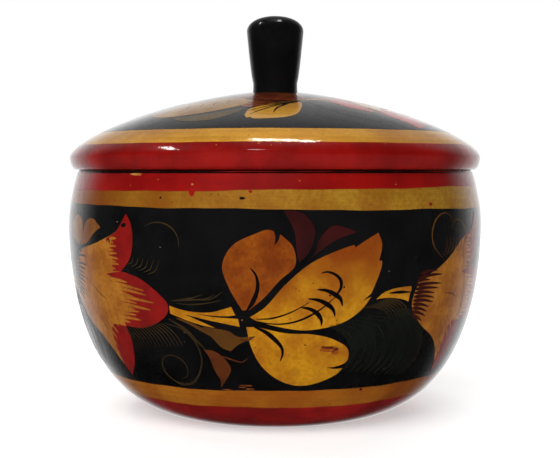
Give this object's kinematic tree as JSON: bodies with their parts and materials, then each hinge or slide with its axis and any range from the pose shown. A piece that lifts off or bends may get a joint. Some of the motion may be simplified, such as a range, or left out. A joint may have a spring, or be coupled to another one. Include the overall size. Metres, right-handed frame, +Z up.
{
  "type": "khokhloma painted lidded bowl",
  "caption": "Round lidded bowl of turned wood, lacquered and painted, with a domed lid that lifts off by a peg knob.",
  "frame": {"origin": "middle of the foot's underside, on the table", "axes": "+Z up along the bowl's turning axis; -Y is the side that shows the middle of a leaf motif"},
  "size_m": [0.13, 0.13, 0.1246],
  "materials": {
    "bowl_lacquer": "gloss black lacquer on linden with gold and red painting",
    "lid_lacquer": "gloss red, gold and black lacquer on linden",
    "knob_lacquer": "gloss black lacquer on linden"
  },
  "bodies": {
    "bowl": {"bowl": "bowl_lacquer"},
    "lid": {"lid": "lid_lacquer", "knob": "knob_lacquer"}
  },
  "joints": [
    {"name": "lid_lift", "type": "slide", "parent": "bowl", "child": "lid", "axis": [0, 0, 1], "range_m": [0, 0.06]}
  ]
}
